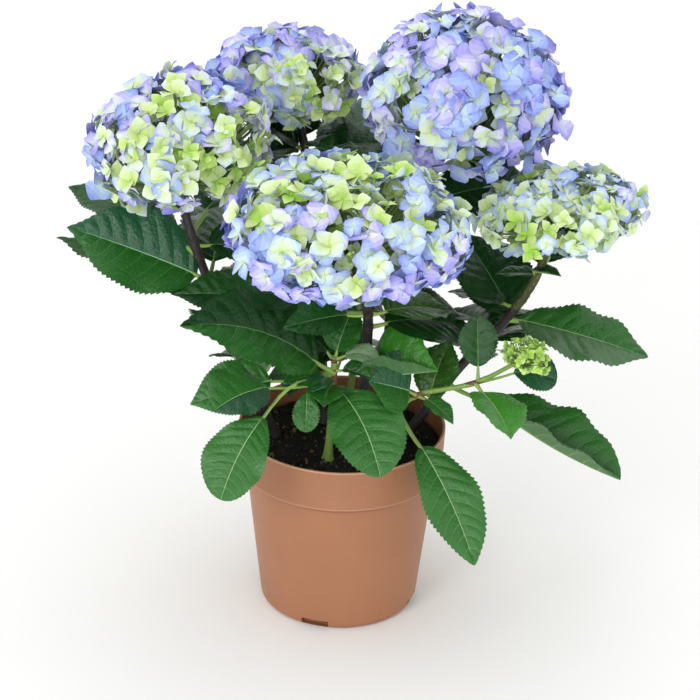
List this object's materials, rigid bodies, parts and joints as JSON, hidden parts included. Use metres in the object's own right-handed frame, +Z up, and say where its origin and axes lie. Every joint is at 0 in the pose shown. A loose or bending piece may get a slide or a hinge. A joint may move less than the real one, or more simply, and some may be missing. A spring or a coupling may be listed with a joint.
{
  "type": "potted mophead hydrangea shrub",
  "caption": "Young flowering hydrangea shrub in a round nursery pot: dark canes, broad toothed leaves and rounded heads of four-petalled flowers.",
  "frame": {"origin": "centre of the pot's flat underside", "axes": "+Z up along the pot's axis, -Y towards the front of the plant, +X to its right seen from the front"},
  "size_m": [0.3987, 0.3544, 0.4184],
  "materials": {
    "pot_plastic": "moulded polypropylene, terracotta colour, soft sheen",
    "peat": "moist loose peat compost, matte",
    "dark_cane": "near-black young bark, satin",
    "green_shoot": "soft green shoot, satin",
    "leaf": "waxy green leaf with pale veins",
    "petal": "soft petals, lilac blue edges and cream green centres",
    "young_petal": "small unopened lime green petals"
  },
  "bodies": {
    "root": {"pot": "pot_plastic", "soil": "peat", "cane_left": "dark_cane", "leaves_left": "leaf", "cane_back": "dark_cane", "leaves_back": "leaf", "cane_back_right": "dark_cane", "leaves_back_right": "leaf", "cane_centre": "dark_cane", "leaves_centre": "leaf", "cane_right": "dark_cane", "leaves_right": "leaf", "cane_side_shoot": "green_shoot", "leaves_side_shoot": "leaf", "cane_young_shoot": "green_shoot", "leaves_young_shoot": "leaf", "cane_rear_shoot": "green_shoot", "leaves_rear_shoot": "leaf", "bloom_left": "petal", "bloom_back": "petal", "bloom_back_right": "petal", "bloom_centre": "petal", "bloom_right": "petal", "bloom_side_shoot": "young_petal"}
  },
  "joints": []
}
